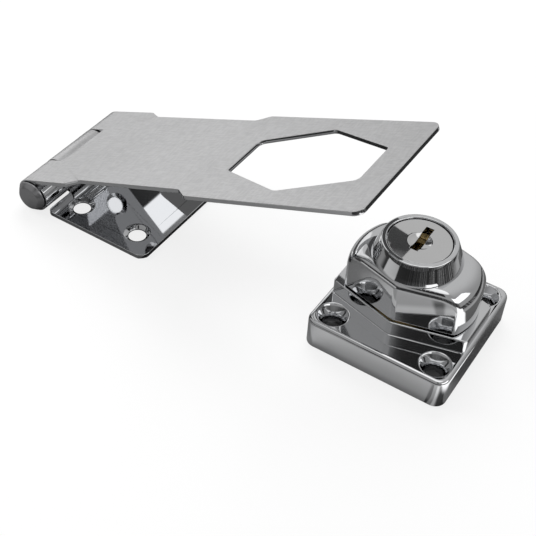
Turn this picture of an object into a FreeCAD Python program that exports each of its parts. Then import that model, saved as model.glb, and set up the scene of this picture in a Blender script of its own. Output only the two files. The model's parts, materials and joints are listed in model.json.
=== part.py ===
import FreeCAD, Part
import math
import os
import re
import Sketcher

# Locking hasp: a slotted strap on a screwed hinge leaf, and a turning lock turret on a square base.
# Millimetres. Origin at the centre of the lock base's underside, X from the hinge to the lock, Z up.

# Driving dimensions, all kept in the spreadsheet
SIZES = {
    # how far cutters run past a face, and fused pieces into each other
    "overrun": 1.0,
    "overlap": 0.1,
    # lock base and the platform cast on it
    "base_side": 38.1,
    "base_height": 8.5,
    "base_corner": 3.0,
    "base_rim": 1.1,
    "base_hole_pitch": 27.8,
    "base_hole_radius": 2.4,
    "base_sink_radius": 3.9,
    "base_sink_depth": 2.5,
    "platform_reach": 18.1,
    "platform_middle": 12.0,
    "platform_height": 4.1,
    "platform_corner": 0.8,
    "platform_knee": 3.0,
    "side_slant": 15.0,
    "cavity_radius": 13.5,
    "cavity_depth": 4.0,
    # turret
    "turret_gap": 0.4,
    "turret_reach": 16.7,
    "turret_middle": 11.4,
    "turret_knee": 3.5,
    "turret_edge": 2.2,
    "shoulder_round": 5.4,
    "roof_height": 25.0,
    "boss_foot": 11.1,
    "boss_top": 9.15,
    "boss_height": 30.07,
    "spindle_radius": 8.0,
    "spindle_play": 0.06,
    # plug, its keyway and its wafers
    "plug_offset": 0.5,
    "plug_radius": 6.0,
    "plug_play": 0.05,
    "plug_head_radius": 7.72,
    "plug_head_bore": 7.98,
    "plug_head_depth": 2.5,
    "plug_head_play": 0.05,
    "plug_face_drop": 0.4,
    "keyway_width": 2.0,
    "keyway_back": 5.5,
    "keyway_front": 3.5,
    "dimple_radius": 3.1,
    "dimple_depth": 0.8,
    "tail_radius": 3.0,
    "tail_top": 10.7,
    "tail_bottom": 8.0,
    "web_top": 10.6,
    "web_bottom": 9.0,
    "clip_radius": 4.3,
    "clip_bore": 2.4,
    "clip_sheet": 0.6,
    "clip_rise": 8.3,
    "clip_mouth": 3.2,
    "clip_play": 0.3,
    "wafer_half": 2.5,
    "wafer_sheet": 1.0,
    "wafer_pitch": 2.8,
    "wafer_first": 25.0,
    "wafer_arm": 4.2,
    "wafer_arm_start": 1.0,
    "wafer_arm_width": 1.2,
    "wafer_travel": 0.8,
    "wafer_window": 6.4,
    "window_play": 0.2,
    "wafer_play": 0.05,
    "groove_depth": 1.0,
    "groove_play": 0.2,
    "wafer_spring_radius": 0.7,
    "wafer_spring_turns": 4,
    "wafer_spring_wire": 0.14,
    "wafer_spring_seat": 3.4,
    # bolt and the cam pin that throws it
    "cam_throw": 1.2,
    "cam_radius": 1.0,
    "cam_play": 0.12,
    "cam_gap": 0.4,
    "bolt_width": 6.0,
    "bolt_thickness": 3.0,
    "bolt_rise": 3.9,
    "bolt_play": 0.1,
    "bolt_back": 6.0,
    "bolt_nose_play": 0.2,
    "pocket_reach": 10.5,
    # parts under the base
    "plate_radius": 12.5,
    "plate_sheet": 1.5,
    "plate_play": 0.2,
    "screw_place": 6.2,
    "screw_radius": 1.0,
    "screw_length": 4.6,
    "screw_head_radius": 2.0,
    "screw_head_height": 1.2,
    "screw_slot": 0.5,
    "screw_play": 0.1,
    "tap_spare": 1.0,
    "stop_radius": 1.0,
    "stop_place": 11.3,
    "stop_bearing": 315.0,
    "stop_depth": 3.6,
    "stop_play": 0.12,
    "turn": 90.0,
    "washer_radius": 10.6,
    "washer_sheet": 0.9,
    "washer_seat": 0.6,
    "washer_play": 0.1,
    "ball_radius": 1.2,
    "ball_play": 0.06,
    "ball_place": 10.8,
    "ball_dip": 0.3,
    "track_half": 0.95,
    "track_past_angle": 6.0,
    "track_depth": 0.4,
    "dip_radius": 0.75,
    "dip_depth": 0.55,
    "detent_depth": 5.6,
    "detent_wire": 0.2,
    "detent_turns": 4,
    # hinge
    "hinge_reach": 105.7,
    "pin_radius": 3.6,
    "strap_play": 0.07,
    "strap_sheet": 1.2,
    "leaf_sheet": 1.3,
    "head_radius": 4.4,
    "head_rim": 0.25,
    "head_face": 3.3,
    "head_start": 19.75,
    "head_end": 21.3,
    "knuckle_half": 8.4,
    "notch_half": 8.75,
    "notch_reach": 4.2,
    "curl_angle": 65.0,
    # strap
    "strap_angle": 21.6,
    "strap_reach": 107.2,
    "strap_corner": 2.5,
    "hinge_half": 19.5,
    "hinge_end": 14.8,
    "waist_half": 17.3,
    "waist_start": 18.5,
    "waist_end": 53.5,
    "waist_round": 2.0,
    "tail_half": 19.85,
    "tail_start": 57.0,
    "slot_start": 61.7,
    "slot_middle": 80.5,
    "slot_end": 99.4,
    "slot_end_half": 7.25,
    "slot_middle_half": 14.4,
    "slot_tight": 0.8,
    "slot_wide": 2.2,
    # fixed leaf
    "leaf_start": 4.3,
    "leaf_end": 37.2,
    "leaf_half": 19.05,
    "leaf_corner": 2.8,
    "leaf_heel": 1.7,
    "leaf_relief": 2.0,
    "leaf_hole_middle": 20.3,
    "leaf_hole_pitch_x": 19.2,
    "leaf_hole_pitch_y": 24.0,
    "leaf_hole_radius": 2.42,
    "leaf_sink_radius": 3.6,
    "leaf_sink_depth": 0.9,
}

# Sizes worked out from the driving ones
DERIVED = {
    "base_half": "(base_side / 2)",
    "platform_top": "(base_height + platform_height)",
    "platform_end": "(platform_middle - platform_reach * tan(side_slant))",
    "turret_bottom": "(platform_top + turret_gap)",
    "spindle_bore": "(spindle_radius + spindle_play)",
    "plate_top": "(cavity_depth - plate_play)",
    "plate_bottom": "(plate_top - plate_sheet)",
    "plug_bore": "(plug_radius + plug_play)",
    "plug_face": "(boss_height - plug_face_drop)",
    "head_floor": "(boss_height - plug_head_depth)",
    "wafer_reach": "(plug_radius - wafer_play)",
    "bolt_top": "(bolt_rise + bolt_thickness)",
    "cam_side": "(cam_throw * sqrt(0.5))",
    "hinge_height": "(pin_radius + leaf_sheet)",
    "strap_bore": "(pin_radius + strap_play)",
    "strap_knuckle": "(strap_bore + strap_sheet)",
    "ball_height": "(plate_top - ball_dip + ball_radius)",
    "ball_bore": "(ball_radius + ball_play)",
}

WAFER_LIFTS = (-0.4, 0.3, -0.1, 0.5, 0.1)  # each wafer's window, moved by its cut
WORD = re.compile(r"[a-z][a-z_]*")

doc = FreeCAD.newDocument("locking_hasp")
sheet = doc.addObject("Spreadsheet::Sheet", "Sizes")
for row, (alias, size) in enumerate(SIZES.items(), start=1):
    sheet.set(f"A{row}", alias)
    sheet.set(f"B{row}", str(size))
    sheet.setAlias(f"B{row}", alias)
doc.recompute()


def bound(text):
    """Expression on the sheet's cells, from a text with plain size names."""
    def cell(match):
        word = match[0]
        if word in DERIVED:
            return bound(DERIVED[word])
        return f"Sizes.{word}" if word in SIZES else word
    return WORD.sub(cell, str(text))


def angled(text):
    """The same expression, with the slant given to its functions in degrees."""
    return bound(text).replace("(Sizes.side_slant)", "(Sizes.side_slant * 1 deg)")


def bind(item, prop, text):
    """Binds one property of an object to the sheet."""
    item.setExpression(prop, angled(text))


def value(text):
    """The number that an expression gives now."""
    result = sheet.evalExpression(angled(text))
    return float(getattr(result, "Value", result))


def place(item, x="0", y="0", z="0", axis=None, angle="0"):
    """Puts an object at bound coordinates, turned about an axis."""
    if axis is not None:
        item.Placement.Rotation = FreeCAD.Rotation(FreeCAD.Vector(*axis), 1.0)
        bind(item, "Placement.Rotation.Angle", angle)
    for name, text in (("x", x), ("y", y), ("z", z)):
        bind(item, f"Placement.Base.{name}", text)
    return item


# Part primitives

def cylinder(name, radius, height, x="0", y="0", z="0"):
    """Upright cylinder standing on z."""
    item = doc.addObject("Part::Cylinder", name)
    bind(item, "Radius", radius)
    bind(item, "Height", height)
    return place(item, x, y, z)


def cone(name, low, high, height, x="0", y="0", z="0"):
    """Upright cone standing on z."""
    item = doc.addObject("Part::Cone", name)
    bind(item, "Radius1", low)
    bind(item, "Radius2", high)
    bind(item, "Height", height)
    return place(item, x, y, z)


def block(name, x, y, z):
    """Box between three pairs of bounds."""
    item = doc.addObject("Part::Box", name)
    for prop, (low, high) in (("Length", x), ("Width", y), ("Height", z)):
        bind(item, prop, f"({high}) - ({low})")
    return place(item, x[0], y[0], z[0])


def fused(name, *items):
    """Union of several objects."""
    item = doc.addObject("Part::MultiFuse", name)
    item.Shapes = list(items)
    return item


def cut(name, stock, *tools):
    """Stock less its tools."""
    item = doc.addObject("Part::Cut", name)
    item.Base = stock
    item.Tool = tools[0] if len(tools) == 1 else fused(f"{name}_tools", *tools)
    return item


def common(name, *items):
    """What several objects share."""
    item = doc.addObject("Part::MultiCommon", name)
    item.Shapes = list(items)
    return item


def curl(name, outer, inner, half, start):
    """Rolled eye about a line along Y, open over curl_angle, from a bound start angle."""
    rings = []
    for label, radius in (("outside", outer), ("inside", inner)):
        ring = doc.addObject("Part::Cylinder", f"{name}_{label}")
        bind(ring, "Radius", radius)
        bind(ring, "Height", f"2 * {half}")
        if label == "outside":
            bind(ring, "Angle", "360 - curl_angle")
        ring.Placement.Rotation = FreeCAD.Rotation(FreeCAD.Vector(1, 0, 0), 90)
        bind(ring, "Placement.Base.y", half)
        rings.append(ring)
    return place(cut(name, *rings), axis=(0, -1, 0), angle=start)


# Bodies built from sketches

def new_body(name):
    """Empty body with a plain name."""
    return doc.addObject("PartDesign::Body", name)


def new_sketch(body, name, role="XY_Plane", height="0"):
    """Sketch on one of the body's own origin planes, moved along its normal."""
    plane = next(item for item in body.Origin.OriginFeatures if item.Role == role)
    sketch = body.newObject("Sketcher::SketchObject", name)
    sketch.AttachmentSupport = (plane, [""])
    sketch.MapMode = "FlatFace"
    bind(sketch, "AttachmentOffset.Base.z", height)
    return sketch


def fix_point(sketch, geometry, point, across, up):
    """Holds one point of a sketch at bound coordinates."""
    for kind, text in (("DistanceX", across), ("DistanceY", up)):
        number = value(text)
        rule = Sketcher.Constraint(kind, -1, 1, geometry, point, number)
        index = sketch.addConstraint(rule)
        sketch.setExpression(f"Constraints[{index}]", angled(text))


def add_outline(sketch, corners):
    """Closed outline of straight sides through bound corners."""
    first = sketch.GeometryCount
    spots = [FreeCAD.Vector(value(across), value(up), 0) for across, up in corners]
    for start, end in zip(spots, spots[1:] + spots[:1]):
        sketch.addGeometry(Part.LineSegment(start, end))
    for index, (across, up) in enumerate(corners):
        follower = first + (index + 1) % len(corners)
        sketch.addConstraint(Sketcher.Constraint("Coincident", first + index, 2, follower, 1))
        fix_point(sketch, first + index, 1, across, up)


def add_circle(sketch, across, up, radius):
    """Circle with a bound centre and radius."""
    centre = FreeCAD.Vector(value(across), value(up), 0)
    normal = FreeCAD.Vector(0, 0, 1)
    circle = sketch.addGeometry(Part.Circle(centre, normal, value(radius)))
    fix_point(sketch, circle, 3, across, up)
    index = sketch.addConstraint(Sketcher.Constraint("Radius", circle, value(radius)))
    sketch.setExpression(f"Constraints[{index}]", angled(radius))


def pad(body, sketch, length, symmetric=False):
    """Pad of a sketch."""
    feature = body.newObject("PartDesign::Pad", f"{sketch.Name}_pad")
    feature.Profile = sketch
    bind(feature, "Length", length)
    if symmetric:
        feature.SideType = "Symmetric"
    doc.recompute()
    return feature


def pocket(body, sketch, length):
    """Pocket of a sketch to both sides; the solid must lose volume."""
    before = body.Shape.Volume
    feature = body.newObject("PartDesign::Pocket", f"{sketch.Name}_pocket")
    feature.Profile = sketch
    feature.SideType = "Symmetric"
    bind(feature, "Length", length)
    doc.recompute()
    if body.Shape.Volume >= before:
        raise ValueError(f"{feature.Name} removed nothing")
    return feature


def revolve(body, sketch, role="Z_Axis"):
    """Full revolution of a sketch about one of the body's own axes."""
    axis = next(item for item in body.Origin.OriginFeatures if item.Role == role)
    feature = body.newObject("PartDesign::Revolution", f"{sketch.Name}_turned")
    feature.Profile = sketch
    feature.ReferenceAxis = (axis, [""])
    feature.Angle = 360
    doc.recompute()
    return feature


def fillet(body, name, radius, wanted):
    """Rounds the edges of the body that a test picks."""
    base = body.Tip
    picked = [f"Edge{i}" for i, edge in enumerate(base.Shape.Edges, start=1) if wanted(edge)]
    if not picked:
        raise ValueError(f"{name} found no edge")
    feature = body.newObject("PartDesign::Fillet", name)
    feature.Base = (base, picked)
    bind(feature, "Radius", radius)
    doc.recompute()
    return feature


def upright_at(*places):
    """Test for upright edges standing at given (x, y) expressions."""
    spots = [(value(x), value(y)) for x, y in places]

    def test(edge):
        ends = [vertex.Point for vertex in edge.Vertexes]
        if len(ends) != 2 or math.dist(ends[0][:2], ends[1][:2]) > 1e-4:
            return False
        return any(math.dist(ends[0][:2], spot) < 1e-3 for spot in spots)
    return test


def level_at(height, skip=None):
    """Test for edges lying at one height, less those that skip picks."""
    level = value(height)

    def test(edge):
        box = edge.BoundBox
        flat = abs(box.ZMin - level) < 1e-4 and abs(box.ZMax - level) < 1e-4
        return flat and not (skip and skip(edge))
    return test


def sink_holes(body, sketch, radius, sink_radius, sink_depth):
    """Countersunk holes right through, one at each circle of the sketch."""
    doc.recompute()
    feature = body.newObject("PartDesign::Hole", f"{sketch.Name}_bored")
    feature.Profile = sketch
    feature.DepthType = "ThroughAll"
    feature.HoleCutType = "Countersink"
    feature.HoleCutCustomValues = True
    bind(feature, "Diameter", f"2 * {radius}")
    bind(feature, "HoleCutDiameter", f"2 * {sink_radius}")
    bind(feature, "HoleCutCountersinkAngle", f"2 * atan(({sink_radius} - {radius}) / {sink_depth})")
    doc.recompute()
    return feature


def corners_of(half_x, half_y):
    """The four corners of a rectangle about the origin."""
    signs = ((1, 1), (-1, 1), (-1, -1), (1, -1))
    return [(f"{sx} * ({half_x})", f"{sy} * ({half_y})") for sx, sy in signs]


# Springs

def coil(name, radius, wire, length, turns, origin, axis):
    """Compression spring as one solid, through four-sided sections along the helix."""
    steps = 6
    sides = 4
    frame = FreeCAD.Rotation(FreeCAD.Vector(0, 0, 1), FreeCAD.Vector(*axis))
    middle = radius - wire
    rise = (length - 2 * wire) / (turns * steps)
    sections = []
    for step in range(turns * steps + 1):
        bearing = 2 * math.pi * step / steps
        points = []
        for side in range(sides):
            around = 2 * math.pi * side / sides
            reach = middle + wire * math.cos(around)
            height = wire + step * rise + wire * math.sin(around)
            spot = FreeCAD.Vector(reach * math.cos(bearing), reach * math.sin(bearing), height)
            points.append(FreeCAD.Vector(*origin) + frame.multVec(spot))
        sections.append(Part.makePolygon(points + points[:1]))
    item = doc.addObject("Part::Feature", name)
    item.Shape = Part.makeLoft(sections, True, True)
    return item


# Lock base

def base_casting():
    """Square base with the long platform cast on it, before machining."""
    body = new_body("base_casting")
    square = new_sketch(body, "base_square")
    add_outline(square, corners_of("base_half", "base_half"))
    pad(body, square, "base_height")
    fillet(body, "base_corners", "base_corner", upright_at(*corners_of("base_half", "base_half")))
    fillet(body, "base_rim_round", "base_rim", level_at("base_height"))
    hexagon = new_sketch(body, "platform", height="base_height - 2 * base_rim")
    add_outline(hexagon, [
        ("-platform_reach", "platform_end"), ("0", "platform_middle"),
        ("platform_reach", "platform_end"), ("platform_reach", "-platform_end"),
        ("0", "-platform_middle"), ("-platform_reach", "-platform_end"),
    ])
    pad(body, hexagon, "platform_height + 2 * base_rim")
    fillet(body, "platform_corners", "platform_corner",
           upright_at(*corners_of("platform_reach", "platform_end")))
    fillet(body, "platform_knees", "platform_knee",
           upright_at(("0", "platform_middle"), ("0", "-platform_middle")))
    holes = new_sketch(body, "base_holes", height="base_height")
    for x, y in corners_of("base_hole_pitch / 2", "base_hole_pitch / 2"):
        add_circle(holes, x, y, "base_hole_radius")
    sink_holes(body, holes, "base_hole_radius", "base_sink_radius", "base_sink_depth")
    return body


def bolt_pocket(name, along):
    """Pocket in the bore wall that takes the bolt's nose, along X or along Y."""
    half = ("-bolt_width / 2 - 2 * bolt_play", "bolt_width / 2 + 2 * bolt_play")
    reach = ("0", "pocket_reach")
    sides = (reach, half) if along == "x" else (half, reach)
    return block(name, *sides, ("cavity_depth - overrun", "bolt_top + 2 * bolt_play"))


def lock_base():
    """Base casting with its bore, underside hollow, pockets and blind holes."""
    stop_x, stop_y = on_circle("stop_place", "stop_bearing")
    return cut(
        "lock_base", base_casting(),
        cylinder("underside_hollow", "cavity_radius", "cavity_depth + overrun", z="-overrun"),
        cylinder("spindle_bore", "spindle_bore", "platform_top + overrun"),
        cylinder("washer_seat", "washer_radius + washer_play", "washer_seat + overrun",
                 z="platform_top - washer_seat"),
        bolt_pocket("bolt_pocket_closed", "x"),
        bolt_pocket("bolt_pocket_open", "y"),
        cylinder("stop_hole", "stop_radius", "stop_depth + overrun", stop_x, stop_y,
                 "cavity_depth - overrun"),
        cylinder("detent_hole", "ball_bore", "detent_depth + overrun", "-ball_place", "0",
                 "cavity_depth - overrun"),
    )


def on_circle(radius, bearing):
    """Bound x and y of a spot on a circle about the lock's axis."""
    return f"{radius} * cos({bearing} * 1 deg)", f"{radius} * sin({bearing} * 1 deg)"


# Turret

def turret_head():
    """Round head cut by two long slanted sides, with a falling shoulder and one rounded edge all along."""
    body = new_body("turret_head")
    disc = new_sketch(body, "turret_disc", height="turret_bottom")
    add_circle(disc, "0", "0", "turret_reach")
    pad(body, disc, "roof_height - turret_bottom")
    fillet(body, "turret_shoulder", "shoulder_round", level_at("roof_height"))
    wings = new_sketch(body, "turret_sides")
    far = "1.2 * turret_reach"
    near = f"(turret_middle - {far} * tan(side_slant))"
    for side in ("", "-"):
        add_outline(wings, [
            (f"-{far}", f"{side}{near}"), ("0", f"{side}turret_middle"), (far, f"{side}{near}"),
            (far, f"{side}1.5 * turret_reach"), (f"-{far}", f"{side}1.5 * turret_reach"),
        ])
    pocket(body, wings, "4 * roof_height")
    fillet(body, "turret_knees", "turret_knee",
           upright_at(("0", "turret_middle"), ("0", "-turret_middle")))
    fillet(body, "turret_rims", "turret_edge", side_rim())
    return body


def side_rim():
    """Test for the edges that run round the turret's slanted sides, up one end and down the other."""
    middle = value("turret_middle")
    knee = value("turret_knee")
    slant = math.tan(math.radians(value("side_slant")))
    foot_level = value("turret_bottom") + 1e-3

    def test(edge):
        point = edge.valueAt((edge.FirstParameter + edge.LastParameter) / 2)
        on_side = abs(abs(point.y) + abs(point.x) * slant - middle) < 0.1 * knee
        foot = edge.BoundBox.ZMax < foot_level
        knee_seam = abs(point.x) < knee and edge.BoundBox.ZMin < foot_level
        return on_side and not foot and not knee_seam
    return test


def plug_bores():
    """Bores along the plug's axis: head seat, barrel, web and the chamber under it."""
    x = "-plug_offset"
    return [
        cylinder("head_bore", "plug_head_bore", "plug_head_depth + overrun", x, z="head_floor"),
        cylinder("barrel_bore", "plug_bore", "head_floor - web_top + overlap", x, z="web_top"),
        cylinder("web_bore", "tail_radius + plug_play", "web_top - web_bottom + 2 * overlap", x,
                 z="web_bottom - overlap"),
        cylinder("clip_chamber", "clip_radius + clip_play", "web_bottom - plate_top + overrun", x,
                 z="plate_top - overrun"),
    ]


def wafer_grooves():
    """Grooves in the barrel bore that take the wafers at either end of the plug's turn."""
    half = "(wafer_half + groove_play)"
    reach = "(plug_radius + groove_depth)"
    last = wafer_height(len(WAFER_LIFTS) - 1)
    rise = (f"{last} - wafer_sheet / 2 - groove_play", "wafer_first + wafer_sheet / 2 + groove_play")
    return [
        block("groove_locked", (f"-plug_offset - {half}", f"-plug_offset + {half}"), ("0", reach), rise),
        block("groove_turned", (f"-plug_offset - {reach}", "-plug_offset"), (f"-{half}", half), rise),
    ]


def screw_sites():
    """The two plate screws' places, each a side of the bolt channel."""
    return (("0", "screw_place"), ("0", "-screw_place"))


def turret():
    """Turret with its hollow spindle, bored for the plug, the bolt and the plate screws."""
    spindle = cylinder("spindle", "spindle_radius", "turret_bottom - plate_top + overrun", z="plate_top")
    boss = cone("boss", "boss_foot", "boss_top", "boss_height - roof_height", "-plug_offset",
                z="roof_height")
    half = "(bolt_width / 2 + bolt_play / 2)"
    channel = block("bolt_channel", ("-bolt_back - bolt_play", "spindle_radius + overrun"),
                    (f"-{half}", half), ("plate_top - overrun", "bolt_top + bolt_play"))
    taps = [cylinder(f"screw_tap_{i}", "screw_radius", "screw_length + tap_spare", x, y,
                     "plate_top - tap_spare")
            for i, (x, y) in enumerate(screw_sites(), start=1)]
    solid = fused("turret_solid", turret_head(), spindle, boss)
    return cut("turret", solid, *plug_bores(), *wafer_grooves(), channel, *taps)


# Plug and wafers

def wafer_height(index):
    """Middle height of one wafer, counted from the face down."""
    return f"(wafer_first - {index} * wafer_pitch)"


def spring_middle():
    """Place along X of the wafer springs' own line."""
    return "(-plug_offset + wafer_arm - wafer_spring_radius - wafer_play)"


def plug_slots():
    """Slots across the plug for the wafers, with a side room for each wafer's arm and spring."""
    tools = []
    spring_half = "(wafer_spring_radius + wafer_play)"
    for index in range(len(WAFER_LIFTS)):
        middle = wafer_height(index)
        half = "(wafer_sheet / 2 + wafer_play)"
        rise = (f"{middle} - {half}", f"{middle} + {half}")
        side = "(wafer_half + wafer_play)"
        across = (f"-plug_offset - {side}", f"-plug_offset + {side}")
        tools.append(block(f"wafer_slot_{index + 1}", across, ("-2 * plug_radius", "2 * plug_radius"), rise))
        room = (f"-plug_offset + {side} - overlap", "-plug_offset + wafer_arm + wafer_play")
        top = "wafer_arm_start + wafer_arm_width + wafer_travel + wafer_play"
        tools.append(block(f"side_room_{index + 1}", room, ("-wafer_spring_seat", top),
                           (f"{middle} - {spring_half}", f"{middle} + {spring_half}")))
    return tools


def lock_plug():
    """Turned plug: wide face, slotted barrel, tail with the clip groove and the cam pin."""
    x = "-plug_offset"
    head = cylinder("plug_head", "plug_head_radius", "plug_face - head_floor - plug_head_play", x,
                    z="head_floor + plug_head_play")
    barrel = cylinder("plug_barrel", "plug_radius", "head_floor + overlap - tail_top", x, z="tail_top")
    tail = cylinder("plug_tail", "tail_radius", "tail_top + overlap - tail_bottom", x, z="tail_bottom")
    pin = cylinder("cam_pin", "cam_radius", "tail_bottom + overlap - plate_top - cam_gap",
                   "-plug_offset - cam_side", "-cam_side", "plate_top + cam_gap")
    groove_ring = cut("clip_groove",
                      cylinder("groove_outside", "2 * tail_radius", "clip_sheet", x, z="clip_rise"),
                      cylinder("groove_inside", "clip_bore", "clip_sheet", x, z="clip_rise"))
    keyway = block("keyway", ("-plug_offset - keyway_width / 2", "-plug_offset + keyway_width / 2"),
                   ("-keyway_front", "keyway_back"),
                   (f"{wafer_height(len(WAFER_LIFTS) - 1)} - wafer_sheet", "plug_face + overrun"))
    dish = doc.addObject("Part::Sphere", "face_dish")
    ball = "((dimple_radius^2 + dimple_depth^2) / (2 * dimple_depth))"
    bind(dish, "Radius", ball)
    place(dish, x, "0", f"plug_face - dimple_depth + {ball}")
    solid = fused("plug_solid", head, barrel, tail, pin)
    return cut("lock_plug", solid, groove_ring, keyway, dish, *plug_slots())


def wafer(index, lift):
    """Flat tumbler: rounded ends, a window for the key and a side arm on its spring."""
    number = index + 1
    middle = wafer_height(index)
    body = new_body(f"wafer_form_{number}")
    outline = new_sketch(body, f"wafer_outline_{number}", height=f"{middle} - wafer_sheet / 2")
    arm_end = "wafer_arm_start + wafer_arm_width"
    add_outline(outline, [
        ("-plug_offset - wafer_half", "-plug_radius"), ("-plug_offset + wafer_half", "-plug_radius"),
        ("-plug_offset + wafer_half", "wafer_arm_start"), ("-plug_offset + wafer_arm", "wafer_arm_start"),
        ("-plug_offset + wafer_arm", arm_end), ("-plug_offset + wafer_half", arm_end),
        ("-plug_offset + wafer_half", "plug_radius"), ("-plug_offset - wafer_half", "plug_radius"),
    ])
    side = "(keyway_width / 2 + window_play)"
    low = f"(1 + {lift} - wafer_window / 2)"
    high = f"(1 + {lift} + wafer_window / 2)"
    add_outline(outline, [(f"-plug_offset - {side}", low), (f"-plug_offset + {side}", low),
                          (f"-plug_offset + {side}", high), (f"-plug_offset - {side}", high)])
    pad(body, outline, "wafer_sheet")
    ends = cylinder(f"wafer_ends_{number}", "wafer_reach", "2 * wafer_sheet", "-plug_offset",
                    z=f"{middle} - wafer_sheet")
    return common(f"wafer_{number}", body, ends)


def wafer_spring(index):
    """Spring pressing one wafer's arm outward, lying beside the wafer."""
    origin = (value(spring_middle()), value("wafer_play - wafer_spring_seat"), value(wafer_height(index)))
    length = value("wafer_spring_seat + wafer_arm_start - 2 * wafer_play")
    return coil(f"wafer_spring_{index + 1}", value("wafer_spring_radius"), value("wafer_spring_wire"),
                length, SIZES["wafer_spring_turns"], origin, (0, 1, 0))


def plug_clip():
    """Open spring clip in the groove of the plug's tail."""
    x = "-plug_offset"
    return cut("plug_clip",
               cylinder("clip_disc", "clip_radius", "clip_sheet", x, z="clip_rise"),
               cylinder("clip_eye", "clip_bore", "clip_sheet", x, z="clip_rise"),
               block("clip_mouth", ("-plug_offset", "-plug_offset + 2 * clip_radius"),
                     ("-clip_mouth / 2", "clip_mouth / 2"), ("clip_rise", "clip_rise + clip_sheet")))


# Bolt and the parts under the base

def locking_bolt():
    """Sliding bolt with a round nose and the cross slot that the cam pin works in."""
    half = "(bolt_width / 2)"
    bar = block("bolt_bar", ("-bolt_back", "2 * spindle_radius"), (f"-{half}", half),
                ("bolt_rise", "bolt_top"))
    nose = cylinder("bolt_nose", "spindle_radius - bolt_nose_play", "2 * bolt_thickness",
                    z="bolt_rise - bolt_thickness / 2")
    centre = "(-plug_offset - cam_side)"
    width = "(cam_radius + cam_play)"
    slot = block("cam_slot", (f"{centre} - {width}", f"{centre} + {width}"),
                 ("-cam_throw - cam_radius - 2 * cam_play", "cam_radius"),
                 ("bolt_rise - overrun", "bolt_top + overrun"))
    return cut("locking_bolt", common("bolt_blank", bar, nose), slot)


def retaining_plate():
    """Disc screwed under the spindle, with the stop's rim notch and the ball's track."""
    body = new_body("plate_form")
    disc = new_sketch(body, "plate_disc", height="plate_bottom")
    add_circle(disc, "0", "0", "plate_radius")
    pad(body, disc, "plate_sheet")
    margin = math.degrees(math.asin(value("stop_radius + stop_play") / value("stop_place")))
    notch = doc.addObject("Part::Cylinder", "notch_outside")
    bind(notch, "Radius", "plate_radius + overrun")
    bind(notch, "Height", "plate_sheet + 2 * overrun")
    bind(notch, "Angle", f"turn + 2 * {margin:.4f}")
    place(notch, "0", "0", "plate_bottom - overrun", (0, 0, 1), f"stop_bearing - turn - {margin:.4f}")
    inside = cylinder("notch_inside", "stop_place - stop_radius - stop_play", "plate_sheet + 4 * overrun",
                      z="plate_bottom - 2 * overrun")
    sides = (("outside", "ball_place + track_half"), ("inside", "ball_place - track_half"))
    track = [cylinder(f"track_{side}", radius, "track_depth + overrun", z="plate_top - track_depth")
             for side, radius in sides]
    bind(track[0], "Angle", "turn + 2 * track_past_angle")
    place(track[0], z="plate_top - track_depth", axis=(0, 0, 1), angle="180 - turn - track_past_angle")
    dips = [cylinder(f"dip_{name}", "dip_radius", "dip_depth + overrun", x, y, "plate_top - dip_depth")
            for name, x, y in (("closed", "-ball_place", "0"), ("open", "0", "ball_place"))]
    holes = [cylinder(f"plate_hole_{i}", "screw_radius + screw_play", "plate_sheet + 2 * overrun", x, y,
                      "plate_bottom - overrun")
             for i, (x, y) in enumerate(screw_sites(), start=1)]
    return cut("retaining_plate", body, cut("rim_notch", notch, inside),
               cut("ball_track", *track), *dips, *holes)


def plate_screws():
    """Two slotted screws that hold the plate to the spindle."""
    screws = []
    for i, (x, y) in enumerate(screw_sites(), start=1):
        head = cylinder(f"screw_head_{i}", "screw_head_radius", "screw_head_height", x, y,
                        "plate_bottom - screw_head_height")
        shank = cylinder(f"screw_shank_{i}", "screw_radius", "plate_sheet + screw_length - screw_play", x, y,
                         "plate_bottom")
        slot = block(f"screw_slot_{i}", ("-2 * screw_head_radius", "2 * screw_head_radius"),
                     (f"{y} - screw_slot / 2", f"{y} + screw_slot / 2"),
                     ("plate_bottom - 2 * screw_head_height",
                      "plate_bottom - screw_head_height + screw_slot"))
        screws.append(cut(f"plate_screw_{i}", fused(f"screw_{i}", head, shank), slot))
    item = doc.addObject("Part::Compound", "plate_screws")
    item.Links = screws
    return item


def stop_pin():
    """Plain pin pressed into the base, standing in the plate's notch."""
    x, y = on_circle("stop_place", "stop_bearing")
    return cylinder("stop_pin", "stop_radius", "stop_depth + plate_play + plate_sheet - stop_play", x, y,
                    "plate_bottom + stop_play")


def glide_washer():
    """Flat washer between the platform and the turret."""
    floor = "platform_top - washer_seat"
    return cut("glide_washer", cylinder("washer_disc", "washer_radius", "washer_sheet", z=floor),
               cylinder("washer_eye", "spindle_bore + spindle_play", "washer_sheet", z=floor))


def detent_ball():
    """Ball that clicks into the plate's dips."""
    ball = doc.addObject("Part::Sphere", "detent_ball")
    bind(ball, "Radius", "ball_radius")
    return place(ball, "-ball_place", "0", "ball_height")


def detent_spring():
    """Spring above the ball."""
    start = value("ball_height + ball_radius")
    length = value("cavity_depth + detent_depth") - start
    return coil("detent_spring", value("ball_radius - ball_play"), value("detent_wire"), length,
                SIZES["detent_turns"], (-value("ball_place"), 0, start), (0, 0, 1))


# Hinge

def hinge_pin():
    """Pin with a formed head at each end, lying along the hinge line."""
    body = new_body("pin_form")
    profile = new_sketch(body, "pin_profile", "XZ_Plane")
    half = [("pin_radius", "head_start"), ("head_radius", "head_start"),
            ("head_radius", "head_start + head_rim"), ("head_face", "head_end"), ("0", "head_end")]
    add_outline(profile, [(x, f"-({y})") for x, y in reversed(half)] + half)
    revolve(body, profile)
    body.Label = "hinge_pin"
    return place(body, "-hinge_reach", "0", "hinge_height", (1, 0, 0), "90")


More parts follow.
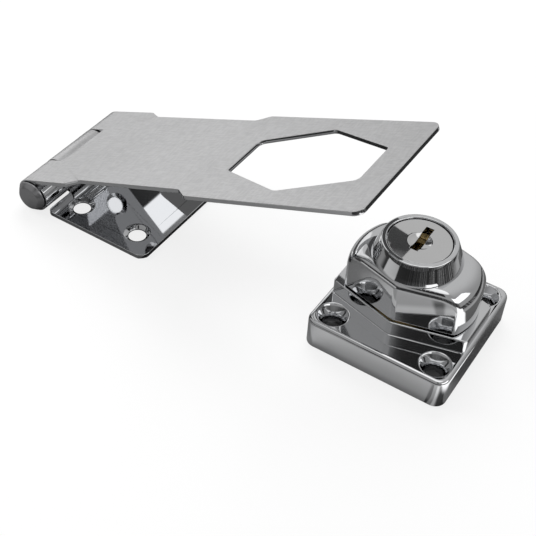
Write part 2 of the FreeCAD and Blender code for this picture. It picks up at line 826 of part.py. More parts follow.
def strap_plate():
    """Flat strap with its step-in waist and the six-sided slot, hinge line at the origin."""
    body = new_body("strap_plate")
    outline = new_sketch(body, "strap_outline", height="strap_bore")
    side = [("0", "hinge_half"), ("hinge_end", "hinge_half"), ("waist_start", "waist_half"),
            ("waist_end", "waist_half"), ("tail_start", "tail_half"), ("strap_reach", "tail_half")]
    slot = [("slot_start", "slot_end_half"), ("slot_middle", "slot_middle_half"),
            ("slot_end", "slot_end_half")]
    add_outline(outline, side + mirrored(side))
    add_outline(outline, slot + mirrored(slot))
    pad(body, outline, "strap_sheet")
    ends = [(x, f"{sign}{y}") for x, y in side[-1:] for sign in ("", "-")]
    fillet(body, "strap_end_round", "strap_corner", upright_at(*ends))
    steps = [(x, f"{sign}{y}") for x, y in side[1:-1] for sign in ("", "-")]
    fillet(body, "strap_waist_round", "waist_round", upright_at(*steps))
    tight = [("slot_start", "-slot_end_half"), ("slot_end", "slot_end_half")]
    fillet(body, "slot_tight_round", "slot_tight", upright_at(*tight))
    wide = [("slot_start", "slot_end_half"), ("slot_end", "-slot_end_half"),
            ("slot_middle", "slot_middle_half"), ("slot_middle", "-slot_middle_half")]
    fillet(body, "slot_wide_round", "slot_wide", upright_at(*wide))
    return body


def mirrored(side):
    """The same points on the near side, in the opposite order."""
    return [(x, f"-{y}") for x, y in reversed(side)]


def hasp_strap():
    """Strap rolled into the two outer knuckles, raised on the hinge."""
    roll = curl("strap_curl", "strap_knuckle", "strap_bore", "hinge_half", "90")
    blank = fused("strap_blank", strap_plate(), roll)
    across = ("-notch_half", "notch_half")
    eye_room = block("eye_room", ("-2 * strap_knuckle", "2 * strap_knuckle"), across,
                     ("-2 * strap_knuckle", "strap_bore"))
    notch = block("knuckle_notch", ("-2 * strap_knuckle", "notch_reach"), across,
                  ("0", "2 * strap_knuckle"))
    strap = cut("hasp_strap", blank, eye_room, notch)
    return place(strap, "-hinge_reach", "0", "hinge_height", (0, -1, 0), "strap_angle")


def leaf_plate():
    """Screw plate with the narrow tongue that rolls round the pin."""
    body = new_body("leaf_plate")
    outline = new_sketch(body, "leaf_outline")
    side = [("0", "knuckle_half"), ("leaf_start", "knuckle_half"), ("leaf_start", "leaf_half"),
            ("leaf_end", "leaf_half")]
    add_outline(outline, side + mirrored(side))
    pad(body, outline, "leaf_sheet")
    heels = [("leaf_start", "leaf_half"), ("leaf_start", "-leaf_half")]
    fillet(body, "leaf_heel_round", "leaf_heel", upright_at(*heels))
    corners = [("leaf_end", "leaf_half"), ("leaf_end", "-leaf_half")]
    fillet(body, "leaf_corner_round", "leaf_corner", upright_at(*corners))
    relief = [("leaf_start", "knuckle_half"), ("leaf_start", "-knuckle_half")]
    fillet(body, "leaf_relief_round", "leaf_relief", upright_at(*relief))
    holes = new_sketch(body, "leaf_holes", height="leaf_sheet")
    for x, y in corners_of("leaf_hole_pitch_x / 2", "leaf_hole_pitch_y / 2"):
        add_circle(holes, f"leaf_hole_middle + {x}", y, "leaf_hole_radius")
    sink_holes(body, holes, "leaf_hole_radius", "leaf_sink_radius", "leaf_sink_depth")
    return body


def fixed_leaf():
    """Screw plate and its rolled middle knuckle."""
    roll = curl("leaf_curl", "pin_radius + leaf_sheet", "pin_radius", "knuckle_half", "curl_angle - 90")
    bind(roll, "Placement.Base.z", "hinge_height")
    leaf = fused("fixed_leaf", leaf_plate(), roll)
    return place(leaf, "-hinge_reach")


# The whole object

def sub_parts():
    """Every node, by its name."""
    nodes = {
        "lock_base": lock_base(), "turret": turret(), "lock_plug": lock_plug(), "plug_clip": plug_clip(),
        "locking_bolt": locking_bolt(), "retaining_plate": retaining_plate(),
        "plate_screws": plate_screws(), "stop_pin": stop_pin(), "glide_washer": glide_washer(),
        "detent_ball": detent_ball(), "detent_spring": detent_spring(), "hinge_pin": hinge_pin(),
        "hasp_strap": hasp_strap(), "fixed_leaf": fixed_leaf(),
    }
    for index, lift in enumerate(WAFER_LIFTS):
        nodes[f"wafer_{index + 1}"] = wafer(index, lift)
        nodes[f"wafer_spring_{index + 1}"] = wafer_spring(index)
    return nodes


def export(nodes):
    """Checks every object and writes each node's file."""
    doc.recompute()
    for item in doc.Objects:
        if "Invalid" in item.State or "Error" in item.State:
            raise RuntimeError(f"{item.Name} did not build: {item.State}")
    os.makedirs("parts", exist_ok=True)
    for name, item in nodes.items():
        item.Label = name
        shape = item.Shape
        if shape.isNull() or not shape.isValid():
            raise RuntimeError(f"{name} has a bad shape")
        shape.exportStep(f"parts/{name}.step")
        print(f"{name}: {len(shape.Solids)} solid(s), {shape.Volume:.1f} cubic mm")


export(sub_parts())
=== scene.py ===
"""Looks of a locking hasp: satin strap on a chromed leaf, and a turning lock on a square base."""
from __future__ import annotations

import json
import logging
import math
from dataclasses import dataclass
from enum import Enum
from functools import reduce

import bmesh
import bpy
from mathutils import Matrix, Vector
from mathutils.bvhtree import BVHTree


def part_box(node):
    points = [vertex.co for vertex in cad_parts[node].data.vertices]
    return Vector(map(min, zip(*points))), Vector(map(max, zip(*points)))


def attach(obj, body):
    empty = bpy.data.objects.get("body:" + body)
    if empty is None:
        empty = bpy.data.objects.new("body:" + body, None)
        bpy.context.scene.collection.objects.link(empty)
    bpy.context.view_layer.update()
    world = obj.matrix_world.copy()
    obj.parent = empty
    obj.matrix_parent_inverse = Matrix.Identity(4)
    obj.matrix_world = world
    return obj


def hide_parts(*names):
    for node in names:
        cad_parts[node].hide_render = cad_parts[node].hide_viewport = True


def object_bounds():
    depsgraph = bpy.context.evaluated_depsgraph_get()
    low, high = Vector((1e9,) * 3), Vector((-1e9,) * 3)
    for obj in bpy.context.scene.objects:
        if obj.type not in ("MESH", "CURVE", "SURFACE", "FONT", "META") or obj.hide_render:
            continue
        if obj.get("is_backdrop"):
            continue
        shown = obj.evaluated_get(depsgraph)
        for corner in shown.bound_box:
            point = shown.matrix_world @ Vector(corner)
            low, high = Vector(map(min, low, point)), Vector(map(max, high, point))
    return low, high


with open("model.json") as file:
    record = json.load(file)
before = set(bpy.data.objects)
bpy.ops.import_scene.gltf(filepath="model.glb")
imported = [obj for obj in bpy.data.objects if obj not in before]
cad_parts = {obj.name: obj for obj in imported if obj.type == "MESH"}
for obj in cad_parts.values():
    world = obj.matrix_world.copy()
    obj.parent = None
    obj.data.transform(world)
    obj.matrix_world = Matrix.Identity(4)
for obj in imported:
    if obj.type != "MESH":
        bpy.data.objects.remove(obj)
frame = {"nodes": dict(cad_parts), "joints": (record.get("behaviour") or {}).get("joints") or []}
CAD_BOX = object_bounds()

LOG = logging.getLogger("locking_hasp")
MM = 0.001
Colour = tuple[float, float, float]
Spot = tuple[float, float, float]
Pair = tuple[float, float]


# Places taken from the frame


def joint_named(name: str) -> dict:
    """The facts of one joint."""
    return next(joint for joint in frame["joints"] if joint["name"] == name)


def middle_of(node: str) -> Vector:
    """Middle of a solid's box, in metres."""
    low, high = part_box(node)
    return (low + high) / 2.0


HINGE = Vector(joint_named("strap_hinge")["pos_m"])
# The strap's upper limit is flat on its back, half a turn from flat
STRAP_TILT = 180.0 - joint_named("strap_hinge")["range_deg"][1]
PLUG_AXIS = Vector(joint_named("plug_turn")["pos_m"])
DETENT_AXIS = middle_of("detent_spring")


# Node graphs


class Wire:
    """A node's output, ready for plain arithmetic."""

    def __init__(self, graph: Graph, socket: bpy.types.NodeSocket) -> None:
        """Keeps the socket and the graph that it belongs to."""
        self.graph = graph
        self.socket = socket

    def _math(self, operation: str, *values: Wire | float) -> Wire:
        """Adds one Math node on the given inputs."""
        return self.graph.add("ShaderNodeMath", {"operation": operation}, dict(enumerate(values)))

    def __add__(self, other: Wire | float) -> Wire:
        """Sum."""
        return self._math("ADD", self, other)

    __radd__ = __add__

    def __sub__(self, other: Wire | float) -> Wire:
        """Difference."""
        return self._math("SUBTRACT", self, other)

    def __rsub__(self, other: Wire | float) -> Wire:
        """Difference the other way round."""
        return self._math("SUBTRACT", other, self)

    def __mul__(self, other: Wire | float) -> Wire:
        """Product."""
        return self._math("MULTIPLY", self, other)

    __rmul__ = __mul__

    def __truediv__(self, other: Wire | float) -> Wire:
        """Quotient."""
        return self._math("DIVIDE", self, other)

    def most(self, other: Wire | float) -> Wire:
        """The larger of two values."""
        return self._math("MAXIMUM", self, other)

    def reach(self, other: Wire) -> Wire:
        """Length of the vector whose two parts are this and the other."""
        return self._math("SQRT", self * self + other * other)

    def arc_sine(self) -> Wire:
        """Angle in degrees that has this sine."""
        return self._math("ARCSINE", self) * math.degrees(1.0)

    def bearing_to(self, along: Wire) -> Wire:
        """Angle in degrees of the direction whose other part is given."""
        return self._math("ARCTAN2", self, along) * math.degrees(1.0)

    def ramp(self, low: float, high: float, smooth: bool = True) -> Wire:
        """Ramp between 0 and 1.

        Args:
            low: where it leaves 0.
            high: where it reaches 1.
            smooth: whether it eases in and out.

        Returns:
            The ramp, held at 0 and 1 outside the two values.
        """
        settings = {"interpolation_type": "SMOOTHSTEP" if smooth else "LINEAR", "clamp": True}
        values = {"Value": self, "From Min": low, "From Max": high}
        return self.graph.add("ShaderNodeMapRange", settings, values)


class Graph:
    """One node tree under construction, of a material, the world or a shape."""

    # Places of a Mix node's inputs and output when it mixes colours
    MIX_FACTOR, MIX_FIRST, MIX_SECOND, MIX_COLOUR = 0, 6, 7, 2

    def __init__(self, tree: bpy.types.NodeTree) -> None:
        """Keeps the tree and empties it."""
        self.tree = tree
        tree.nodes.clear()

    def node(self, kind: str, settings: dict | None = None,
             values: dict | None = None) -> bpy.types.Node:
        """Adds one node of any kind.

        Args:
            kind: the node's type.
            settings: its properties, set first.
            values: its inputs by name or place, as wires or plain values.

        Returns:
            The node.
        """
        node = self.tree.nodes.new(kind)
        for name, value in (settings or {}).items():
            setattr(node, name, value)
        for name, value in (values or {}).items():
            self.feed(node.inputs[name], value)
        return node

    def add(self, kind: str, settings: dict | None = None, values: dict | None = None,
            output: str | int = 0) -> Wire:
        """Adds one node and gives back one of its outputs, by name or place."""
        return Wire(self, self.node(kind, settings, values).outputs[output])

    def feed(self, socket: bpy.types.NodeSocket, value: object) -> None:
        """Links a wire to a socket, or sets a plain value on it.

        Args:
            socket: the input.
            value: a wire, a number, a vector, or a colour with or without its alpha.
        """
        if isinstance(value, Wire):
            self.tree.links.new(value.socket, socket)
            return
        if socket.type == "RGBA" and len(value) == 3:
            value = (*value, 1.0)
        socket.default_value = value

    def blend(self, factor: Wire | float, first: Wire | Colour, second: Wire | Colour) -> Wire:
        """Mixes two colours by a factor."""
        values = {self.MIX_FACTOR: factor, self.MIX_FIRST: first, self.MIX_SECOND: second}
        settings = {"data_type": "RGBA", "clamp_factor": True}
        return self.add("ShaderNodeMix", settings, values, self.MIX_COLOUR)

    def stretch(self, vector: Wire, sizes: Spot) -> Wire:
        """Multiplies a vector's three parts, which draws a pattern out."""
        return self.add("ShaderNodeVectorMath", {"operation": "MULTIPLY"}, {0: vector, 1: sizes})

    def parts(self, vector: Wire) -> tuple[Wire, Wire, Wire]:
        """The three parts of a vector."""
        split = self.node("ShaderNodeSeparateXYZ", None, {0: vector})
        return tuple(Wire(self, output) for output in split.outputs)

    def noise(self, vector: Wire, scale: float, detail: float, rough: float) -> Wire:
        """Noise between 0 and 1 at a scale per metre."""
        values = {"Vector": vector, "Scale": scale, "Detail": detail, "Roughness": rough}
        return self.add("ShaderNodeTexNoise", None, values, "Fac")

    def bump(self, height: Wire, distance: float, normal: Wire | None = None) -> Wire:
        """Bump from a height.

        Args:
            height: the height, in units of the distance.
            distance: what a height of 1 stands for, in metres.
            normal: a bump that this one lies on.

        Returns:
            The bent normal.
        """
        values = {"Height": height, "Distance": distance}
        if normal is not None:
            values["Normal"] = normal
        return self.add("ShaderNodeBump", None, values)


@dataclass(frozen=True)
class Grain:
    """One kind of small mark, as noise at a scale per metre.

    It may be drawn out, by how much each part of the place counts, and cut between two levels,
    under which it is gone and over which it is full. Where it is full it brings in its share of
    the finish's other tone, adds to the roughness, and stands out by its depth in metres.
    """

    scale: float
    detail: float = 2.0
    rough: float = 0.5
    drawn: Spot | None = None
    cut: Pair | None = None
    tint: float = 1.0
    dull: float = 0.0
    depth: float = 0.0

    def over(self, graph: Graph, place: Wire) -> Marks:
        """Lays the grain over a surface.

        Args:
            graph: the graph that it is added to.
            place: the place on the surface, or another measure that the grain follows.

        Returns:
            The grain's marks on that surface.
        """
        if self.drawn is not None:
            place = graph.stretch(place, self.drawn)
        level = graph.noise(place, self.scale, self.detail, self.rough)
        return Marks(self, level if self.cut is None else level.ramp(*self.cut))


@dataclass(frozen=True)
class Marks:
    """A grain as it lies on a surface, with its level there from 0 to 1."""

    grain: Grain
    level: Wire

    @property
    def tint(self) -> Wire:
        """How much of the finish's other tone the marks bring in."""
        return self.grain.tint * self.level

    @property
    def dull(self) -> Wire:
        """What the marks add to the roughness."""
        return self.grain.dull * self.level

    def bump(self, normal: Wire | None = None) -> Wire:
        """The normal as the marks bend it."""
        return self.level.graph.bump(self.level, self.grain.depth, normal)


@dataclass(frozen=True)
class Band:
    """Stretch of one measure between two soft ends, and without end where one is left out."""

    low: float | None = None
    high: float | None = None
    soft: float = 0.0

    def on(self, measure: Wire) -> Wire | float:
        """Lays the band on a measure.

        Args:
            measure: the measure, in the band's own unit.

        Returns:
            1 inside the band and 0 outside it, or a plain 1 where it has no ends.
        """
        inside = 1.0
        if self.low is not None:
            inside = measure.ramp(self.low - self.soft, self.low + self.soft)
        if self.high is not None:
            inside = inside * (1.0 - measure.ramp(self.high - self.soft, self.high + self.soft))
        return inside


@dataclass(frozen=True)
class Patch:
    """Soft-edged patch over two measures, with its strength."""

    strength: float
    first: Band = Band()
    second: Band = Band()

    def on(self, first: Wire, second: Wire) -> Wire:
        """The patch's strength at each place."""
        return self.strength * self.first.on(first) * self.second.on(second)


def strongest(patches: tuple[Patch, ...], first: Wire, second: Wire) -> Wire:
    """Strength of the strongest patch at each place."""
    return reduce(Wire.most, (patch.on(first, second) for patch in patches))


# Finishes


@dataclass(frozen=True)
class Finish:
    """Metal surface, described by its colour, its roughness and its own small marks."""

    name: str
    colour: Colour
    rough: float

    def material(self) -> bpy.types.Material:
        """Builds the finish as a material, once for each name.

        Returns:
            The material.
        """
        made = bpy.data.materials.get(self.name)
        if made is None:
            made = bpy.data.materials.new(self.name)
            made.use_nodes = True
            graph = Graph(made.node_tree)
            place = graph.add("ShaderNodeTexCoord", output="Object")
            values = {"Metallic": 1.0, **self.sockets(graph, place)}
            shader = graph.add("ShaderNodeBsdfPrincipled", None, values)
            graph.node("ShaderNodeOutputMaterial", None, {"Surface": shader})
        return made

    def darker(self, share: float) -> Colour:
        """The finish's colour with a share of its light."""
        return tuple(share * part for part in self.colour)

    def sockets(self, graph: Graph, place: Wire) -> dict[str, Wire]:
        """Draws the surface.

        Args:
            graph: the material's graph.
            place: the place on the object.

        Returns:
            What feeds the shader's sockets.
        """
        raise NotImplementedError


@dataclass(frozen=True)
class MirrorChrome(Finish):
    """Polished chrome plate: nearly a mirror, faintly wavy, with a light haze and buffing lines."""

    shade: float = 0.92
    haze: Grain = Grain(160.0, 4.0, 0.6, tint=0.7, dull=0.03)
    specks: Grain = Grain(1500.0, cut=(0.66, 0.74), dull=0.05)
    buffing: Grain = Grain(2600.0, 2.0, 0.7, (1.0, 1.0, 0.03), tint=0.3, dull=0.02, depth=1.2e-7)
    swell: Grain = Grain(90.0, 1.0, depth=4e-6)

    def sockets(self, graph: Graph, place: Wire) -> dict[str, Wire]:
        """Draws the chrome.

        Args:
            graph: the material's graph.
            place: the place on the object.

        Returns:
            What feeds the shader's sockets.
        """
        haze, specks = self.haze.over(graph, place), self.specks.over(graph, place)
        buffing = self.buffing.over(graph, place)
        other = self.darker(self.shade)
        return {
            "Base Color": graph.blend(haze.tint + buffing.tint, self.colour, other),
            "Roughness": self.rough + haze.dull + specks.dull + buffing.dull,
            "Normal": self.swell.over(graph, place).bump(buffing.bump()),
        }


@dataclass(frozen=True)
class HingePlate(Finish):
    """Pressed hinge plate: satin with a fine linen grain on its outside, polished elsewhere.

    Its sizes are in millimetres. The plate lies at a tilt in degrees, and its rolled end's outside
    is satin up to a line across the plate.
    """

    polish: float = 0.02
    satin_face: bool = True
    tilt: float = STRAP_TILT
    curl_end: float = 0.0
    outside: float = 4.78
    border: float = 0.06
    fade: float = 1.0
    mirror: Colour = (0.62, 0.625, 0.635)
    shade: float = 0.8
    stained: float = 0.7
    cloud: Grain = Grain(60.0, 3.0, tint=0.3, dull=0.02)
    lines: Grain = Grain(2300.0, 3.0, 0.65, (1.0, 0.15, 1.0), tint=0.7, dull=0.05, depth=6e-6)
    threads: Grain = Grain(2300.0, 3.0, 0.65, (0.15, 1.0, 0.15))
    weave: Pair = (0.36, 0.64)
    stains: Grain = Grain(420.0, 5.0, 0.7, cut=(0.62, 0.8), tint=0.25)
    swell: Grain = Grain(60.0, 1.0, depth=5e-6)

    def _outside(self, graph: Graph, place: Wire) -> Wire:
        """Finds the plate's outside.

        Args:
            graph: the material's graph.
            place: the place on the object.

        Returns:
            Mask of the rolled end's outside and, where it is satin too, the plate's upper face.
        """
        x, _, z = graph.parts(place)
        forward, up = x - HINGE.x, z - HINGE.z
        cosine, sine = math.cos(math.radians(self.tilt)), math.sin(math.radians(self.tilt))
        along = forward * cosine + up * sine
        above = up * cosine - forward * sine
        skin = ((self.outside - self.border) * MM, self.outside * MM)
        end = (self.curl_end * MM, (self.curl_end + self.fade) * MM)
        rolled = forward.reach(up).ramp(*skin) * (1.0 - along.ramp(*end))
        return above.ramp(*skin).most(rolled) if self.satin_face else rolled

    def sockets(self, graph: Graph, place: Wire) -> dict[str, Wire]:
        """Draws the plate.

        Args:
            graph: the material's graph.
            place: the place on the object.

        Returns:
            What feeds the shader's sockets.
        """
        satin = self._outside(graph, place)
        cloud = self.cloud.over(graph, place)
        lines, threads = self.lines.over(graph, place), self.threads.over(graph, place)
        linen = (lines.level + threads.level) / 2.0
        shaded = cloud.tint + self.lines.tint * linen.ramp(*self.weave)
        lit = graph.blend(shaded, self.colour, self.darker(self.shade))
        stains = self.stains.over(graph, place).tint
        swell = self.swell.over(graph, place).bump()
        dull = self.rough - self.polish + self.lines.dull * linen
        return {
            "Base Color": graph.blend(
                satin, self.mirror, graph.blend(stains, lit, self.darker(self.stained))),
            "Roughness": self.polish + cloud.dull + satin * dull,
            "Normal": graph.bump(linen * satin, self.lines.depth, swell),
        }


@dataclass(frozen=True)
class TurnedMetal(Finish):
    """Lathe-turned metal: fine rings about an upright axis.

    Its face falls off at a slope outside its flat middle. The axis is in metres, and the flat
    middle's radius and the rings' pitch are in millimetres.
    """

    axis: Pair = (PLUG_AXIS.x, PLUG_AXIS.y)
    slope: float = 0.14
    flat: float = 3.2
    pitch: float = 0.16
    shade: float = 0.9
    rings: Grain = Grain(1.0, 3.0, 0.6, tint=0.5, depth=1.5e-7)
    haze: Grain = Grain(240.0, 4.0, 0.6, tint=0.5, dull=0.04)
    nicks: Grain = Grain(1700.0, 3.0, 0.7, cut=(0.68, 0.76), dull=0.1)

    def sockets(self, graph: Graph, place: Wire) -> dict[str, Wire]:
        """Draws the turned metal.

        Args:
            graph: the material's graph.
            place: the place on the object.

        Returns:
            What feeds the shader's sockets.
        """
        x, y, _ = graph.parts(place)
        reach = (x - self.axis[0]).reach(y - self.axis[1])
        rings = self.rings.over(graph, reach / (self.pitch * MM))
        haze = self.haze.over(graph, place)
        fall = graph.bump(reach.most(self.flat * MM) * -self.slope, 1.0) if self.slope else None
        other = self.darker(self.shade)
        return {
            "Base Color": graph.blend(haze.tint + rings.tint, self.colour, other),
            "Roughness": self.rough + haze.dull + self.nicks.over(graph, place).dull,
            "Normal": rings.bump(fall),
        }


@dataclass(frozen=True)
class PinMetal(Finish):
    """Bar-turned hinge pin: rings on its heads and duller clouds. Its rings' pitch is in mm."""

    pitch: float = 0.2
    clouded: float = 0.72
    shade: float = 0.8
    rings: Grain = Grain(1.0, 3.0, 0.6, tint=0.5, depth=1.5e-6)
    cloud: Grain = Grain(380.0, 4.0, 0.6, dull=0.12)

    def sockets(self, graph: Graph, place: Wire) -> dict[str, Wire]:
        """Draws the pin.

        Args:
            graph: the material's graph.
            place: the place on the object.

        Returns:
            What feeds the shader's sockets.
        """
        x, _, z = graph.parts(place)
        reach = (x - HINGE.x).reach(z - HINGE.z)
        rings = self.rings.over(graph, reach / (self.pitch * MM))
        cloud = self.cloud.over(graph, place)
        tone = graph.blend(cloud.tint, self.colour, self.darker(self.clouded))
        return {
            "Base Color": graph.blend(rings.tint, tone, self.darker(self.shade)),
            "Roughness": self.rough + cloud.dull,
            "Normal": rings.bump(),
        }


@dataclass(frozen=True)
class ZincPlate(Finish):
    """Dull zinc plating: cloudy crystals, with a faint blue and yellow cast."""

    cool: Colour = (0.50, 0.55, 0.62)
    warm: Colour = (0.62, 0.58, 0.46)
    plain: float = 0.5
    cast: Grain = Grain(130.0, cut=(0.35, 0.65))
    crystals: Grain = Grain(2200.0, 3.0, 0.6, tint=0.2, dull=0.14, depth=2e-6)

    def sockets(self, graph: Graph, place: Wire) -> dict[str, Wire]:
        """Draws the plating.

        Args:
            graph: the material's graph.
            place: the place on the object.

        Returns:
            What feeds the shader's sockets.
        """
        crystals = self.crystals.over(graph, place)
        cast = graph.blend(self.cast.over(graph, place).tint, self.cool, self.warm)
        return {
            "Base Color": graph.blend(self.plain + crystals.tint, cast, self.colour),
            "Roughness": self.rough + crystals.dull,
            "Normal": crystals.bump(),
        }


@dataclass(frozen=True)
class WorkedMetal(Finish):
    """Metal with the fine lines that its making leaves, and patches of another tone."""

    other: Colour
    lines: Grain
    patches: Grain
    shade: float = 1.0

    def sockets(self, graph: Graph, place: Wire) -> dict[str, Wire]:
        """Draws the metal.

        Args:
            graph: the material's graph.
            place: the place on the object.

        Returns:
            What feeds the shader's sockets.
        """
        lines, patches = self.lines.over(graph, place), self.patches.over(graph, place)
        bright = graph.blend(lines.tint, self.colour, self.darker(self.shade))
        return {
            "Base Color": graph.blend(patches.tint, bright, self.other),
            "Roughness": self.rough + lines.dull + patches.dull,
            "Normal": lines.bump(),
        }


@dataclass(frozen=True)
class RolledSheet(WorkedMetal):
    """Rolled sheet: long rolling lines one way, with tarnish gathered in clouds."""

    other: Colour = (0.3, 0.2, 0.08)
    lines: Grain = Grain(3000.0, 2.0, 0.6, (1.0, 0.05, 1.0), dull=0.06, depth=1.5e-6)
    patches: Grain = Grain(300.0, 5.0, 0.65, cut=(0.42, 0.75), tint=0.35, dull=0.15)
    shade: float = 0.85


@dataclass(frozen=True)
class GroundSteel(WorkedMetal):
    """Ground and hardened steel: fine grinding lines and darker worn patches."""

    other: Colour = (0.364, 0.364, 0.378)
    lines: Grain = Grain(4200.0, 2.0, 0.6, (0.06, 1.0, 1.0), dull=0.08, depth=1.2e-6)
    patches: Grain = Grain(350.0, 4.0, cut=(0.5, 0.75), tint=0.6, dull=0.1)


@dataclass(frozen=True)
class DrawnWire(WorkedMetal):
    """Drawn spring wire: a fine grain, with spots of oil and brown bloom."""

    other: Colour = (0.22, 0.17, 0.12)
    lines: Grain = Grain(5200.0, 3.0, 0.6, dull=0.05, depth=8e-7)
    patches: Grain = Grain(900.0, 4.0, 0.6, cut=(0.55, 0.78), tint=0.5, dull=0.1)


CHROME = MirrorChrome("polished_chrome", (0.72, 0.725, 0.735), 0.02)
SATIN = HingePlate("satin_plate", (0.74, 0.74, 0.745), 0.38)
LEAF_CHROME = HingePlate("pressed_chrome", (0.72, 0.72, 0.725), 0.38,
                         satin_face=False, tilt=0.0, curl_end=3.0)
PIN_STEEL = PinMetal("bar_steel", (0.48, 0.48, 0.49), 0.24)
PLUG_NICKEL = TurnedMetal("turned_nickel", (0.70, 0.70, 0.70), 0.05)
BALL_STEEL = TurnedMetal("ball_steel", (0.62, 0.62, 0.64), 0.1,
                         axis=(DETENT_AXIS.x, DETENT_AXIS.y), slope=0.0)
HARD_STEEL = GroundSteel("ground_steel", (0.52, 0.52, 0.54), 0.26)
ZINC = ZincPlate("zinc_plate", (0.60, 0.61, 0.60), 0.32)
WAFER_BRASS = RolledSheet("rolled_brass", (0.76, 0.56, 0.25), 0.26)
WASHER_BRASS = RolledSheet("washer_brass", (0.72, 0.50, 0.22), 0.3)
SPRING_WIRE = DrawnWire("drawn_wire", (0.46, 0.46, 0.48), 0.26)


# Shapes


class EdgeBreak(Enum):
    """How far an outer edge is broken by the way its piece is made, in millimetres."""

    SHEARED = 0.16
    CAST = 0.28
    TURNED = 0.12


def put_in_order(work: bmesh.types.BMesh) -> None:
    """Sorts a mesh's points and faces by their places, so that every run makes the same mesh.

    Args:
        work: the mesh.
    """
    points = sorted(work.verts, key=lambda vertex: tuple(vertex.co))
    faces = sorted(work.faces, key=lambda face: tuple(face.calc_center_median()))
    for elements, ordered in ((work.verts, points), (work.faces, faces)):
        ranks = {element: rank for rank, element in enumerate(ordered)}
        elements.sort(key=ranks.get)
        elements.index_update()


class FlatShading:
    """Normals of a triangle mesh that keep its flat faces flat and its curved faces smooth."""

    def __init__(self, work: bmesh.types.BMesh, sharp: float, level: float, least: float) -> None:
        """Finds the flat faces.

        Args:
            work: the mesh, all triangles.
            sharp: angle in degrees past which two faces meet in a sharp edge.
            level: angle in degrees under which two faces lie in one plane.
            least: area in square millimetres from which such a plane counts as a flat face.
        """
        self.work = work
        self.sharp = math.radians(sharp)
        self.level = math.radians(level)
        self.least = least * MM * MM
        self.flats: dict[int, tuple[float, Vector]] = {}
        self._find_flats()

    def _find_flats(self) -> None:
        """Gathers the triangles of each plane and keeps the large planes."""
        seen: set[int] = set()
        for start in self.work.faces:
            if start.index in seen:
                continue
            seen.add(start.index)
            plane, waiting = [start], [start]
            while waiting:
                for edge in waiting.pop().edges:
                    if len(edge.link_faces) != 2 or edge.calc_face_angle(0.0) > self.level:
                        continue
                    for face in edge.link_faces:
                        if face.index not in seen:
                            seen.add(face.index)
                            plane.append(face)
                            waiting.append(face)
            area = sum(face.calc_area() for face in plane)
            if area >= self.least:
                weighed = sum((face.normal * face.calc_area() for face in plane), Vector())
                normal = weighed.normalized()
                self.flats.update((face.index, (area, normal)) for face in plane)

    def _fans(self, vertex: bmesh.types.BMVert) -> list[list[bmesh.types.BMLoop]]:
        """Sorts the corners round a vertex.

        Args:
            vertex: the vertex.

        Returns:
            Its corners, in groups that no sharp edge parts.
        """
        corners = {corner.face: corner for corner in vertex.link_loops}
        fans = []
        while corners:
            fan = [corners.popitem()[1]]
            for corner in fan:
                for edge in (corner.edge, corner.link_loop_prev.edge):
                    if edge.smooth:
                        fan += [corners.pop(face) for face in edge.link_faces if face in corners]
            fans.append(fan)
        return fans

    def normals(self) -> list[Vector]:
        """Works out every corner's normal.

        Returns:
            One normal for each corner, in the mesh's own order.
        """
        for edge in self.work.edges:
            edge.smooth = len(edge.link_faces) == 2 and edge.calc_face_angle(0.0) < self.sharp
        found: dict[bmesh.types.BMLoop, Vector] = {}
        for vertex in self.work.verts:
            for fan in self._fans(vertex):
                flats = [self.flats[corner.face.index] for corner in fan
                         if corner.face.index in self.flats]
                bent = sum((corner.face.normal * corner.calc_angle() for corner in fan), Vector())
                shared = max(flats, key=lambda flat: flat[0])[1] if flats else bent.normalized()
                for corner in fan:
                    found[corner] = self.flats.get(corner.face.index, (0.0, shared))[1]
        return [found[corner] for face in self.work.faces for corner in face.loops]


